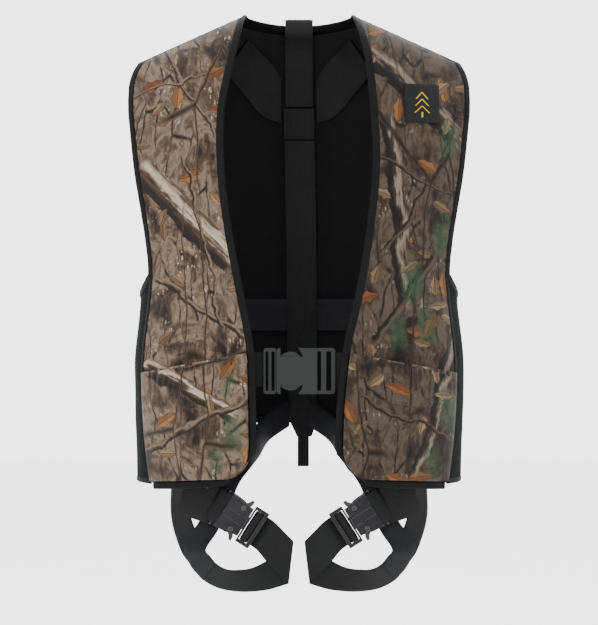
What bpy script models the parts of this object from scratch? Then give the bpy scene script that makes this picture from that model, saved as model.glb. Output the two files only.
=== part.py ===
"""Safety harness vest: a sleeveless field vest with a full-body harness sewn inside it.

Metres, +Z up, the wearer faces -Y. Heights are given as a drop below the two neck points, which lie at z = 0.
The wearer's right is at -X and carries the suffix _r, the wearer's left is at +X and carries _l.
"""

import bisect
import math

import bmesh
import bpy
import numpy as np
from mathutils import Matrix, Vector

# The torso is an oval at every height: (drop, half-width) and (drop, half-depth).
HALF_WIDTH = ((0.0, 0.236), (0.07, 0.243), (0.13, 0.250), (0.22, 0.243), (0.30, 0.2265), (0.377, 0.2170),
              (0.48, 0.2250),
              (0.56, 0.2235), (0.66, 0.2200))
HALF_DEPTH = ((-0.02, 0.074), (0.0, 0.076), (0.07, 0.086), (0.15, 0.105), (0.25, 0.117), (0.40, 0.119),
              (0.66, 0.125))
SHOULDER_ARCH = 0.070
SHOULDER_SLOPE = 0.45
NECK_HALF = 0.0714
NECK_ROUNDING = 0.020

# The front edges and the armholes: (drop, distance from the middle).
OPEN_EDGE = {
    -1: ((0.0, 0.079), (0.065, 0.0920), (0.135, 0.1055), (0.21, 0.1065), (0.30, 0.0960), (0.38, 0.0810),
         (0.457, 0.0670), (0.53, 0.0643), (0.65, 0.0632)),
    1: ((0.0, 0.079), (0.065, 0.0948), (0.135, 0.1018), (0.21, 0.1047), (0.30, 0.0962), (0.38, 0.0830),
        (0.457, 0.0657), (0.53, 0.0575), (0.65, 0.0549)),
}
SIDE_EDGE = ((0.067, 0.2140), (0.09, 0.2225), (0.12, 0.2245), (0.17, 0.2205), (0.22, 0.2150), (0.27, 0.2070),
             (0.31, 0.2010), (0.352, 0.1975), (0.38, 0.2000), (0.48, 0.2105), (0.56, 0.2080),
             (0.62, 0.2010), (0.66, 0.1950))
ARMHOLE_DROP = 0.360
ARMHOLE_SAG = 0.026
ARMHOLE_CLEAR = 0.0036
HEM_FRONT = 0.628
HEM_SIDE = 0.636
HEM_CORNER = 0.040
HEM_BACK = 0.559
NECKLINE_DROP = 0.011

CLOTH = 0.0016
LAYER = 0.004
BINDING_WIDTH = 0.0085
BINDING_THICKNESS = 0.0036
SEAM_GAP = 0.0006
WEB = 0.0020
POCKET_TOP = (0.462, 0.490)
POCKET_BULGE = 0.016

LEG_AXIS = (0.0, -0.0493, -0.634)
TETHER_AXIS = (0.0, 0.0605, 0.0045)
BUCKLE_AXIS = math.radians(32.4)
BUCKLE_PLANE = -0.050
BUCKLE_START = (0.1084, 0.6682)
WAIST_DROP = 0.4852
WAIST_PLANE = -0.092

SIDES = {"r": -1, "l": 1}

COLOURS = {
    "camouflage": ((0.24, 0.19, 0.15), 0.85, 0.0),
    "black_cloth": ((0.012, 0.012, 0.013), 0.9, 0.0),
    "green_cloth": ((0.010, 0.018, 0.015), 0.85, 0.0),
    "binding": ((0.008, 0.008, 0.009), 0.7, 0.0),
    "webbing": ((0.016, 0.016, 0.018), 0.6, 0.0),
    "navy_webbing": ((0.016, 0.017, 0.026), 0.65, 0.0),
    "badge": ((0.010, 0.010, 0.010), 0.6, 0.0),
    "plastic": ((0.020, 0.024, 0.021), 0.45, 0.0),
    "gunmetal": ((0.075, 0.078, 0.080), 0.38, 1.0),
    "steel": ((0.30, 0.30, 0.31), 0.30, 1.0),
}


def clear_scene():
    for item in list(bpy.data.objects):
        bpy.data.objects.remove(item, do_unlink=True)


def material_named(name):
    """The material of one of the finishes above, made once."""
    found = bpy.data.materials.get(name)
    if found:
        return found
    colour, roughness, metallic = COLOURS[name]
    made = bpy.data.materials.new(name)
    made.use_nodes = True
    shader = made.node_tree.nodes["Principled BSDF"]
    shader.inputs["Base Color"].default_value = (*colour, 1.0)
    shader.inputs["Roughness"].default_value = roughness
    shader.inputs["Metallic"].default_value = metallic
    return made


def add_mesh(name, points, faces, finish, smooth=False):
    """A closed mesh object whose faces point outwards, with a material of its own."""
    mesh = bpy.data.meshes.new(name)
    mesh.from_pydata([tuple(p) for p in points], [], faces)
    work = bmesh.new()
    work.from_mesh(mesh)
    bmesh.ops.recalc_face_normals(work, faces=work.faces)
    work.to_mesh(mesh)
    work.free()
    made = bpy.data.objects.new(name, mesh)
    bpy.context.scene.collection.objects.link(made)
    own = material_named(finish).copy()
    own.name = f"{name}_{finish}"
    mesh.materials.append(own)
    if smooth:
        mesh.shade_smooth()
        mesh.set_sharp_from_angle(angle=math.radians(35))
    return made


def along(knots, t):
    """The value at t on a smooth curve through (position, value) knots in rising order of position."""
    places = [knot[0] for knot in knots]
    values = [knot[1] for knot in knots]
    slopes = np.gradient(values, places)
    t = min(max(t, places[0]), places[-1])
    i = min(bisect.bisect_right(places, t), len(places) - 1) - 1
    step = places[i + 1] - places[i]
    s = (t - places[i]) / step
    rise = (2 * s**3 - 3 * s**2 + 1) * values[i] + (3 * s**2 - 2 * s**3) * values[i + 1]
    return float(rise + step * ((s**3 - 2 * s**2 + s) * slopes[i] + (s**3 - s**2) * slopes[i + 1]))


def blend(a, b, t):
    return a + (b - a) * t


def ease(low, high, t):
    s = min(max((t - low) / (high - low), 0.0), 1.0)
    return s * s * (3 - 2 * s)


def ridge_drop(x):
    """Drop of the shoulder line at x."""
    return SHOULDER_SLOPE * (math.hypot(x, NECK_ROUNDING) - NECK_HALF)


def shell_point(angle, drop):
    """Point of the torso's oval. Angle 0 is the middle of the front, and 90 degrees is +X."""
    x = along(HALF_WIDTH, drop) * math.sin(angle)
    fall = min(max(drop - ridge_drop(x), 0.0), SHOULDER_ARCH)
    lean = math.sin(math.acos(1 - fall / SHOULDER_ARCH))
    return Vector((x, -along(HALF_DEPTH, drop) * math.cos(angle) * lean, -drop))


def shell(angle, drop, out=0.0):
    """(point, outward normal) on the torso, moved out along the normal."""
    tiny = 1e-4
    across = shell_point(angle + tiny, drop) - shell_point(angle - tiny, drop)
    down = shell_point(angle, drop + tiny) - shell_point(angle, drop)
    normal = down.cross(across).normalized()
    if normal.dot(Vector((math.sin(angle), -math.cos(angle), 0.4))) < 0:
        normal.negate()
    return shell_point(angle, drop) + normal * out, normal


def angle_at(x, drop, back=False):
    """The oval's angle at x, on the front or the back."""
    a = math.asin(max(min(x / along(HALF_WIDTH, drop), 0.999), -0.999))
    return math.pi - a if back else a


def on_shell(x, drop, out=0.0, back=False):
    return shell(angle_at(x, drop, back), drop, out)


def open_edge(side, drop):
    """Distance of a front edge from the middle, with the hem's rounded corner."""
    x = along(OPEN_EDGE[side], drop)
    below = drop - (HEM_FRONT - HEM_CORNER)
    if below > 0:
        x += HEM_CORNER - math.sqrt(max(HEM_CORNER**2 - below**2, 0.0))
    return x


def side_edge(drop):
    return along(SIDE_EDGE, drop)


def fall_rows(start, end, arch_rows, plain_rows, corner_rows):
    """How far each row lies below a panel's top edge: close together over the shoulder and at a corner."""
    turns = [math.radians(0.6 + 89.4 * i / arch_rows) for i in range(arch_rows)]
    rows = [SHOULDER_ARCH * (1 - math.cos(turn)) for turn in turns]
    low = end - HEM_CORNER if corner_rows else end
    rows += [blend(SHOULDER_ARCH, low, i / plain_rows) for i in range(plain_rows + 1)]
    rows += [low + HEM_CORNER * math.sin(math.radians(90 * i / corner_rows)) for i in range(1,
            corner_rows + 1)]
    return [(row - start) / (end - start) for row in rows if row >= start]


def cloth(name, rows, thickness, finish):
    """A closed sheet of a given thickness through rows of (point, normal)."""
    deep = len(rows)
    wide = len(rows[0])
    points = [p + n * thickness / 2 for row in rows for p, n in row]
    points += [p - n * thickness / 2 for row in rows for p, n in row]
    under = deep * wide

    def at(i, j):
        return i * wide + j

    faces = []
    for i in range(deep - 1):
        for j in range(wide - 1):
            quad = [at(i, j), at(i, j + 1), at(i + 1, j + 1), at(i + 1, j)]
            faces.append(quad)
            faces.append([under + k for k in reversed(quad)])
    border = [at(0, j) for j in range(wide)]
    border += [at(i, wide - 1) for i in range(1, deep)]
    border += [at(deep - 1, j) for j in range(wide - 2, -1, -1)]
    border += [at(i, 0) for i in range(deep - 2, 0, -1)]
    for k, first in enumerate(border):
        second = border[(k + 1) % len(border)]
        faces.append([first, under + first, under + second, second])
    return add_mesh(name, points, faces, finish, smooth=True)


def front_rows(side, columns, out=0.0, top=None, inset=0.0, bulge=0.0):
    """Rows of (point, normal) over one front, from its top edge to the hem."""
    shares = fall_rows(0.0, HEM_FRONT, 5, 9, 4)
    if top:
        shares = [i / 5 * 0.76 for i in range(5)]
        shares += [0.76 + 0.24 * math.sin(math.radians(22.5 * i)) for i in range(5)]
    rows = []
    for share in shares:
        row = []
        for j in range(columns + 1):
            u = j / columns
            first_start = top[0] if top else ridge_drop(0.079)
            last_start = top[1] if top else ridge_drop(0.214)
            inner = open_edge(side, blend(first_start, HEM_FRONT, share)) + inset
            outer = side_edge(blend(last_start, HEM_SIDE, share)) - inset - 2 * SEAM_GAP
            x = blend(inner, outer, u)
            start = blend(top[0], top[1], u) if top else ridge_drop(x)
            drop = blend(start, blend(HEM_FRONT, HEM_SIDE, u), share)
            across, down = math.sin(math.pi * u), math.cos(math.pi / 2 * share)
            swell = bulge * across**0.7 * down**0.6 if bulge else 0.0
            row.append(on_shell(side * x, drop, out + swell))
        rows.append(row)
    return rows


def back_top(x):
    """Drop of the back's top edge: the neckline in the middle, the shoulder line beside it."""
    if abs(x) > 0.079:
        return ridge_drop(x)
    return NECKLINE_DROP - (NECKLINE_DROP - ridge_drop(0.079)) * (x / 0.079) ** 2


def back_bottom(x):
    return HEM_BACK + (HEM_SIDE - HEM_BACK) * ease(0.06, 0.185, abs(x))


def back_rows(columns, out=0.0, inset=0.0):
    """Rows of (point, normal) over the back, from the neckline and the shoulders to the hem."""
    rows = []
    for share in fall_rows(0.0, 0.60, 5, 10, 0):
        row = []
        for j in range(columns + 1):
            u = 2 * j / columns - 1
            outer = side_edge(blend(ridge_drop(0.214), HEM_SIDE, share)) - inset - 2 * SEAM_GAP
            drop = blend(back_top(outer * u) + inset, back_bottom(outer * u) - inset, share)
            row.append(on_shell(outer * u, drop, out, back=True))
        rows.append(row)
    return rows


def armhole_bottom(angle, edge_angle):
    """Drop of the bottom of the armhole at an angle round the side."""
    off = (abs(angle) - math.pi / 2) / (math.pi / 2 - edge_angle)
    return ARMHOLE_DROP + ARMHOLE_SAG * (1 - off * off)


def side_rows(side, columns=6, out=0.0, gap=0.0010):
    """Rows of (point, normal) over the cloth under one arm."""
    edge = angle_at(side_edge(ARMHOLE_DROP), ARMHOLE_DROP)
    rows = []
    for share in [i / 7 for i in range(8)]:
        row = []
        for j in range(columns + 1):
            u = 2 * j / columns - 1
            top = armhole_bottom(math.pi / 2 + u * (math.pi / 2 - edge), edge) + ARMHOLE_CLEAR
            drop = blend(top, HEM_SIDE, share)
            seam = math.pi / 2 - angle_at(side_edge(drop) + gap, drop)
            row.append(shell(side * (math.pi / 2 + u * seam), drop, out))
        rows.append(row)
    return rows


def ribbon(name, path, near, far, thickness, turn, finish, closed=False):
    """A strip beside a path of (point, normal), from near to far across it, on the side that turn picks."""
    rings = []
    count = len(path)
    for i, (point, normal) in enumerate(path):
        before = path[i - 1 if closed else max(i - 1, 0)][0]
        after = path[(i + 1) % count if closed else min(i + 1, count - 1)][0]
        across = normal.cross(after - before).normalized() * turn
        lift = normal * thickness / 2
        corners = [(near, 1), (far, 1), (far, -1), (near, -1)]
        rings.append([point + across * reach + lift * up for reach, up in corners])
    return loft(name, rings, finish, closed)


def loft(name, rings, finish, closed=False, smooth=True, flat=False):
    """A tube through rings of equally many points, capped unless closed. A flat one splits quads alike."""
    size = len(rings[0])
    points = [p for ring in rings for p in ring]
    faces = []
    for i in range(len(rings) if closed else len(rings) - 1):
        here = i * size
        there = (i + 1) % len(rings) * size
        for k in range(size):
            after = (k + 1) % size
            quad = [here + k, here + after, there + after, there + k]
            if not flat:
                faces.append(quad)
                continue
            low, high = (1, 3) if k == 2 else (0, 2)
            faces.append([quad[low], quad[low + 1], quad[high]])
            faces.append([quad[high], quad[(high + 1) % 4], quad[low]])
    if not closed:
        faces.append(list(range(size)))
        faces.append([(len(rings) - 1) * size + k for k in range(size)])
    return add_mesh(name, points, faces, finish, smooth)


def spline(stations, steps):
    """Points on a smooth curve through the stations, with the given number of steps between two stations."""
    table = np.array([tuple(s) for s in stations], float)
    slopes = np.gradient(table, axis=0)
    made = []
    for i in range(len(table) - 1):
        for s in [k / steps for k in range(steps)]:
            here = (2 * s**3 - 3 * s**2 + 1) * table[i] + (3 * s**2 - 2 * s**3) * table[i + 1]
            made.append(here + (s**3 - 2 * s**2 + s) * slopes[i] + (s**3 - s**2) * slopes[i + 1])
    return [Vector(p) for p in made] + [Vector(table[-1])]


def strap(name, stations, thickness, finish, steps=3):
    """Flat webbing between two edges: stations are pairs of points, one on each edge."""
    left = spline([s[0] for s in stations], steps)
    right = spline([s[1] for s in stations], steps)
    rings = []
    for i, (a, b) in enumerate(zip(left, right)):
        first = max(i - 1, 0)
        last = min(i + 1, len(left) - 1)
        run = (left[last] + right[last]) - (left[first] + right[first])
        normal = run.cross(b - a).normalized() * thickness / 2
        rings.append([a + normal, b + normal, b - normal, a - normal])
    return loft(name, rings, finish, flat=True)


def mirrored(stations, side):
    """Stations of millimetre triples, on the given side, turned into metres."""
    return [tuple(Vector((side * x, y, z)) / 1000 for x, y, z in pair) for pair in stations]


def prism(name, outline, low, high, finish, place=None, smooth=False):
    """An outline in the XY plane, raised from low to high along Z, in millimetres."""
    rings = [[Vector((x, y, z)) / 1000 for x, y in outline] for z in (low, high)]
    made = loft(name, rings, finish, smooth=smooth)
    if place:
        made.matrix_world = place
    return made


def box_outline(x0, x1, y0, y1, corner=0.0, steps=3):
    """A rectangle, with round corners if a radius is given."""
    if not corner:
        return [(x0, y0), (x1, y0), (x1, y1), (x0, y1)]
    points = []
    centres = ((x1 - corner, y0 + corner, -90), (x1 - corner, y1 - corner, 0), (x0 + corner, y1 - corner, 90),
               (x0 + corner, y0 + corner, 180))
    for cx, cy, start in centres:
        for k in range(steps + 1):
            turn = math.radians(start + 90 * k / steps)
            points.append((cx + corner * math.cos(turn), cy + corner * math.sin(turn)))
    return points


def circle_outline(cx, cy, radius, count=12):
    turns = [2 * math.pi * k / count for k in range(count)]
    return [(cx + radius * math.cos(t), cy + radius * math.sin(t)) for t in turns]


def combine(target, name, outline, low, high, operation="DIFFERENCE"):
    """Cuts a prism from the target, or joins it on, with a Boolean modifier."""
    tool = prism(f"{target.name}_{name}", outline, low, high, "plastic", target.matrix_world.copy())
    tool.hide_render = True
    tool.display_type = "WIRE"
    change = target.modifiers.new(name, "BOOLEAN")
    change.operation = operation
    change.object = tool
    change.solver = "EXACT"
    tool.parent = target.parent
    if target.parent:
        tool.matrix_parent_inverse = target.parent.matrix_world.inverted()
    return target


def make_cloth(tag, side):
    """The front, the cloth under the arm, the pocket and the bindings of one side."""
    cloth(f"front_panel_{tag}", front_rows(side, 8), CLOTH, "camouflage")
    pocket = front_rows(side, 7, out=LAYER, top=POCKET_TOP, inset=0.002, bulge=POCKET_BULGE)
    cloth(f"pocket_{tag}", pocket, CLOTH, "camouflage")
    cloth(f"side_panel_{tag}", side_rows(side), CLOTH, "green_cloth")

    shares = fall_rows(0.0, HEM_FRONT, 5, 9, 4)
    edge = []
    for share in shares:
        x = open_edge(side, blend(ridge_drop(0.079), HEM_FRONT, share))
        edge.append(on_shell(side * x, blend(ridge_drop(x), HEM_FRONT, share)))
    start = open_edge(side, HEM_FRONT)
    for u in [k / 6 for k in range(1, 7)]:
        x = blend(start, side_edge(HEM_SIDE) - 0.004, u)
        edge.append(on_shell(side * x, blend(HEM_FRONT, HEM_SIDE, u)))
    ribbon(f"front_binding_{tag}", edge, SEAM_GAP, BINDING_WIDTH, BINDING_THICKNESS, -side, "binding")

    hole = []
    falls = [SHOULDER_ARCH * (1 - math.cos(math.radians(2 + 88 * i / 5))) for i in range(6)]
    drops = [ridge_drop(0.214) + fall for fall in falls]
    drops += [blend(drops[-1], ARMHOLE_DROP, i / 6) for i in range(1, 7)]
    front = [on_shell(side * side_edge(drop), drop) for drop in drops]
    back = [on_shell(side * side_edge(drop), drop, back=True) for drop in drops]
    corner = angle_at(side_edge(ARMHOLE_DROP), ARMHOLE_DROP)
    for k in range(1, 7):
        angle = blend(corner, math.pi - corner, k / 7)
        hole.append(shell(side * angle, armhole_bottom(angle, corner)))
    ribbon(f"armhole_binding_{tag}", front + hole + back[::-1], SEAM_GAP, BINDING_WIDTH, BINDING_THICKNESS,
           side,
           "binding", closed=True)


def make_back():
    cloth("back_panel", back_rows(18), CLOTH, "black_cloth")
    cloth("back_lining", back_rows(18, -LAYER, 0.004), CLOTH, "black_cloth")
    places = [0.0745 * (i / 8) for i in range(-8, 9)]
    neck = [on_shell(x, back_top(x) + 0.0002, back=True) for x in places]
    ribbon("neck_binding", neck, 3 * SEAM_GAP, BINDING_WIDTH, BINDING_THICKNESS, -1, "binding")
    places = [0.185 * (i / 12) for i in range(-12, 13)]
    hem = [on_shell(x, back_bottom(x), back=True) for x in places]
    ribbon("back_hem_binding", hem, 3 * SEAM_GAP, BINDING_WIDTH, BINDING_THICKNESS, 1, "binding")
    rows = [[on_shell(blend(0.139, 0.1855, j / 4), blend(0.105, 0.1565, i / 3), 0.0032) for j in range(5)]
            for i in range(4)]
    cloth("badge", rows, 0.0012, "badge")


def on_back(pairs, out):
    """Strap stations inside the back from pairs of (x, drop) on the strap's two edges."""
    return [tuple(on_shell(x, drop, out, back=True)[0] for x, drop in pair) for pair in pairs]


def make_harness():
    """The webbing inside the vest."""
    for tag, side in SIDES.items():
        pairs = (((0.026, 0.0745), (0.026, 0.1350)), ((0.038, 0.056), (0.050, 0.127)),
                 ((0.055, 0.038), (0.078, 0.097)),
                 ((0.074, 0.020), (0.106, 0.064)))
        pairs = [((side * a, b), (side * c, d)) for (a, b), (c, d) in pairs]
        strap(f"shoulder_strap_{tag}", on_back(pairs, -2 * LAYER), WEB, "webbing")
    pairs = [((-0.0195, d), (0.0195, d)) for d in (0.006, 0.03, 0.07, 0.112)]
    strap("tether_root", on_back(pairs, -3 * LAYER), WEB, "webbing", 2)
    pairs = [((-0.022, d), (0.022, d)) for d in (0.114, 0.135, 0.158)]
    strap("spine_patch", on_back(pairs, -3.2 * LAYER), 1.6 * WEB, "webbing", 2)
    pairs = (((-0.0215, 0.160), (0.0225, 0.160)), ((-0.019, 0.30), (0.0255, 0.30)),
             ((-0.018, 0.45), (0.0265, 0.45)),
             ((-0.0155, 0.527), (0.0265, 0.527)), ((-0.0155, 0.558), (0.0280, 0.558)),
             ((-0.003, 0.586), (0.019, 0.586)))
    strap("spine_strap", on_back(pairs, -3.4 * LAYER), WEB, "webbing", 4)
    pairs = (((-0.002, 0.5872), (0.015, 0.5872)), ((-0.002, 0.608), (0.015, 0.608)),
             ((-0.002, 0.629), (0.015, 0.629)))
    strap("drop_loop", on_back(pairs, -3.4 * LAYER), 1.5 * WEB, "webbing", 2)

    turns = [math.radians(t) for t in range(-90, -304, -15)]
    belt = []
    for turn in turns:
        middle = blend(0.411, 0.483, ease(math.radians(110), math.radians(55), math.pi - abs(turn + math.pi)))
        belt.append(tuple(shell(turn, middle + half, -2.4 * LAYER)[0] for half in (-0.0225, 0.0225)))
    x_r = [((-x, y, -0.4605), (-x, y, -0.5055)) for x, y in ((0.128, WAIST_PLANE), (0.165, -0.076),
                                                             (0.197, -0.048))]
    x_l = [((x, y, -0.4605), (x, y, -0.5055)) for x, y in ((0.196, -0.0495), (0.165, -0.076),
                                                           (0.128, WAIST_PLANE))]
    belt = [tuple(map(Vector, pair)) for pair in x_r] + belt[1:-1]
    strap("waist_belt_back", belt, WEB, "webbing", 2)
    ends = [tuple(map(Vector, pair)) for pair in x_l]
    ends += [(Vector((x, WAIST_PLANE, -0.4605)), Vector((x, WAIST_PLANE, -0.5055))) for x in (0.09, 0.0487)]
    strap("waist_belt_l", ends, WEB, "webbing", 2)
    ends = [(Vector((-x, WAIST_PLANE, -0.4605)), Vector((-x, WAIST_PLANE, -0.5055))) for x in (0.0475,
            0.0775)]
    strap("waist_belt_r", ends, WEB, "webbing", 1)

    for tag, side in SIDES.items():
        seat = (((14, 97, -571), (14, 97, -534)), ((39, 78, -587), (37, 82, -546)),
                ((56, 34, -610), (66, 40, -571)),
                ((66, -2, -621), (88, 2, -592)), ((86, -38, -633), (120, -38, -623)))
        strap(f"seat_strap_{tag}", mirrored(seat, side), WEB, "navy_webbing")
        hip = (((196, 4, -512), (190, -38, -514)), ((187, -6, -570), (172, -46, -571)),
               ((174, -22, -625), (147, -54, -626)))
        strap(f"hip_strap_{tag}", mirrored(hip, side), WEB, "webbing")


def make_tether():
    """The tether outside the back: it folds back on itself into an eye at its end."""
    path = [(0.0605, 0.0045), (0.0700, 0.0030)]
    for out, drop in ((0.0065, 0.03), (0.006, 0.08), (0.006, 0.14), (0.006, 0.20), (0.0065, 0.232),
                      (0.011, 0.255),
                      (0.021, 0.263), (0.029, 0.250), (0.0245, 0.232), (0.0135, 0.212), (0.0102, 0.195),
                      (0.0102, 0.150)):
        point = shell(math.pi, drop, out)[0]
        path.append((point.y, point.z))
    stations = [(Vector((-0.019, y, z)), Vector((0.019, y, z))) for y, z in path]
    strap("tether_strap", stations, WEB, "webbing", 3)


def upright(x, y, z):
    """A frame whose Z axis points to the front and whose Y axis points up."""
    return Matrix(((1, 0, 0, x), (0, 0, -1, y), (0, 1, 0, z), (0, 0, 0, 1)))


def make_waist_buckle():
    """A side-release buckle: the body holds the plug by two spring arms."""
    place = upright(0.0, WAIST_PLANE, -WAIST_DROP)
    body = prism("waist_buckle_body", box_outline(-29.7, 48, -30.3, 30.3, 4), -6.5, 6.5, "plastic", place)
    combine(body, "mouth", box_outline(-32, -24.5, -19.6, 19.6), -4.2, 4.2)
    combine(body, "chamber", box_outline(-24.6, 18, -27.6, 27.6), -4.2, 4.2)
    for end in (-1, 1):
        window = [(-24.5, 18.5), (4.5, 18.5), (4.5, 22), (-2, 32), (-24.5, 32)]
        combine(body, f"window_{end}", [(x, end * y) for x, y in window[::end]], -8, 8)
    combine(body, "web_slot_near", box_outline(24.4, 29.0, -26, 26, 1), -8, 8)
    combine(body, "web_slot_far", box_outline(36.0, 42.5, -26, 26, 1), -8, 8)
    combine(body, "rear_step", box_outline(24.0, 49, -31, 31), 3.6, 8)

    plug = prism("waist_buckle_plug", box_outline(-46.9, -30.2, -30.3, 30.3, 3), -4.5, 4.5, "plastic", place)
    prong = [(-31, -5), (9, -4.5), (12, -2), (12, 2), (9, 4.5), (-31, 5)]
    combine(plug, "guide_prong", prong, -3, 3, "UNION")
    combine(plug, "web_slot_near", box_outline(-36.4, -32.2, -26, 26, 1), -8, 8)
    combine(plug, "web_slot_far", box_outline(-44.2, -40.4, -26, 26, 1), -8, 8)
    for tag, end in (("top", 1), ("low", -1)):
        root = (-29.6, 15.6)
        outline = [(root[0], 14.2), (3.2, 14.8), (4.0, 16.4), (1.0, 20.5), (-6.0, 25.2), (-13.0, 25.4),
                   (-19.0, 23.6),
                   (-24.0, 20.6), (-24.1, 17.8), (root[0], 17.8)]
        arm = prism(f"waist_arm_{tag}", [(x - root[0], end * (y - root[1])) for x, y in outline], -3.4, 3.4,
                    "plastic")
        arm.matrix_world = place @ Matrix.Translation(Vector((root[0], end * root[1], 0)) / 1000)


def leg_frame(side):
    """The leg buckle's frame: X along its axis to the fold of the strap, Z to the front."""
    x = Vector((-side * math.cos(BUCKLE_AXIS), 0, -math.sin(BUCKLE_AXIS)))
    z = Vector((0, -1, 0))
    y = z.cross(x)
    start = Vector((side * BUCKLE_START[0], BUCKLE_PLANE, -BUCKLE_START[1]))
    return Matrix.Translation(start) @ Matrix((x, y, z)).transposed().to_4x4()


def turned(name, rings, centre, place, finish):
    """A round piece about a Z line through the centre: rings are (z, radius) in millimetres."""
    made = loft(name, [[Vector((x, y, z)) / 1000 for x, y in circle_outline(*centre, radius)] for z,
                       radius in rings],
                finish)
    made.matrix_world = place
    return made


def make_leg_buckle(tag, side):
    """A quick-release leg buckle: two levers squeeze a spring clip that holds the tongue."""
    place = leg_frame(side)
    high = -side
    back = [(-2, -26), (10, -26), (26, -25), (34, -22), (42.8, -21), (42.8, 21), (34, 22), (26, 25),
            (10, 26), (-2, 26)]
    base = prism(f"leg_buckle_base_{tag}", back, -4.8, -2.3, "gunmetal", place)
    combine(base, "web_slot", box_outline(1.8, 6.6, -22.6, 22.6, 1), -8, 8)
    face = [(8.5, -25), (26, -24), (33, -20.5), (42.8, -19.5), (42.8, 19.5), (33, 20.5), (26, 24), (8.5, 25)]
    cover = prism(f"leg_buckle_cover_{tag}", face, 2.3, 4.8, "gunmetal", place)
    combine(cover, "spine_rib", box_outline(9.5, 42, -6, 6, 2), 4.0, 5.8, "UNION")
    for word, end in (("upper", high), ("lower", -high)):
        pivot = (30.0, end * 16.5)
        combine(base, f"hole_{word}", circle_outline(*pivot, 2.6), -8, 0)
        combine(cover, f"hole_{word}", circle_outline(*pivot, 2.6), 0, 8)
        turned(f"leg_rivet_{word}_{tag}", ((-6.3, 3.4), (-5.15, 3.9), (-5.15, 2.2), (5.15, 2.2),
                                           (5.15, 3.9), (6.3, 3.4)),
               pivot, place, "steel")
        outline = [(-16, -2.6), (-8, -3.6), (4.5, -3.6), (5.0, 2.0), (8.5, 8.0), (9.0, 14.0), (5.0, 14.4),
                   (2.5, 9.5),
                   (-3.5, 4.2), (-16, 0.4)]
        lever = prism(f"leg_lever_{word}_{tag}", [(x, end * y) for x, y in outline], -1.7, 1.7, "steel")
        lever.matrix_world = place @ Matrix.Translation(Vector((*pivot, 0)) / 1000)
        combine(lever, "rivet_hole", circle_outline(0, 0, 2.6), -8, 8)
    half = [(38, 10.4), (38, 11.4), (12, 11.4), (10.2, 9.4)]
    inner = [(11.6, 8.8), (12.6, 10.2), (21.5, 10.2), (21.5, 7.6), (22.6, 7.6), (24.2, 10.2)]
    clip = half + [(x, -y) for x, y in half[::-1]] + [(x, -y) for x, y in inner[::-1]] + inner
    prism(f"leg_spring_{tag}", clip, -1.2, 1.2, "steel", place)
    blade = [(14.5, -6), (17, -9.4), (20.6, -9.4), (20.6, -6.8), (24.4, -6.8), (25.6, -9.4), (43.6, -9.4),
             (43.6, -27.4),
             (64, -27.4)]
    tongue = prism(f"leg_tongue_{tag}", blade + [(x, -y) for x, y in blade[::-1]], -1.3, 1.3, "gunmetal",
                   place)
    combine(tongue, "bar_window", box_outline(46.2, 58.8, -22.8, 22.8, 1), -8, 8)
    combine(tongue, "end_bar", box_outline(59.2, 64, -27.4, 27.4, 2), -2.6, 2.6, "UNION")
    rings = [[Vector((51.9 + r * math.cos(t), y, r * math.sin(t))) / 1000 for t in
              [2 * math.pi * k / 10 for k in range(10)]] for y,
              r in ((-22.3, 2.4), (-21, 3.2), (21, 3.2), (22.3, 2.4))]
    bar = loft(f"leg_friction_bar_{tag}", rings, "gunmetal")
    bar.matrix_world = place


def make_leg_webbing(tag, side):
    """The straps of one leg loop, from the hem down and round to the fold at the inner thigh."""
    outer = (((174, -24, -641), (146, -54, -642)), ((174, -26, -686), (146, -44, -682)),
             ((167.5, -24, -714), (138, -41, -707)),
             ((158, -22, -738), (132, -43, -721)), ((146, -22, -753), (124, -47, -733)),
             ((132, -24, -771), (111, -50, -746)),
             ((109.6, -25, -783), (98.5, -49, -753)), ((81.4, -29, -787), (83, -47, -754.5)),
             ((46.4, -36, -784), (58, -44, -750)), ((28, -40, -779), (28, -43, -733)),
             ((14, -43, -774), (7.4, -43, -718)))
    strap(f"leg_strap_outer_{tag}", mirrored(outer, side), WEB, "webbing", 2)
    tail = (((84, -38, -645.5), (120, -38, -636)), ((95, -38, -675), (128.4, -40, -667)),
            ((111, -41.5, -705), (135, -46, -690)),
            ((125, -56, -727), (156, -45, -722)), ((119, -57, -735), (146, -33, -753)),
            ((112, -57, -744), (131, -31, -770)))
    strap(f"leg_strap_tail_{tag}", mirrored(tail, side), WEB, "navy_webbing", 2)
    loop = (((96.6, -50, -645.0), (122, -50, -691.5)), ((123.5, -57, -643), (131.5, -58, -688)),
            ((155, -58, -643), (163, -51, -678)))
    strap(f"leg_strap_loop_{tag}", mirrored(loop, side), WEB, "webbing", 3)
    start = BUCKLE_PLANE * 1000
    front = (((41.2, start, -689.5), (63.8, start, -727.8)),
             ((19.4, start - 0.5, -703.4), (44.6, start - 0.5, -742)),
             ((7.2, start + 1, -716), (14, start + 1, -772.5)))
    strap(f"leg_strap_front_{tag}", mirrored(front, side), WEB, "webbing", 3)


def axis_empty(name, place):
    """An empty on a joint's axis."""
    made = bpy.data.objects.new(name, None)
    made.location = place
    bpy.context.scene.collection.objects.link(made)
    return made


def hang(pieces, parent):
    """Parents pieces, and the tools that cut them, without moving them."""
    bpy.context.view_layer.update()
    for name in pieces:
        piece = bpy.data.objects[name]
        for each in [piece] + [m.object for m in piece.modifiers if m.type == "BOOLEAN"]:
            each.parent = parent
            each.matrix_parent_inverse = parent.matrix_world.inverted()


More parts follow.
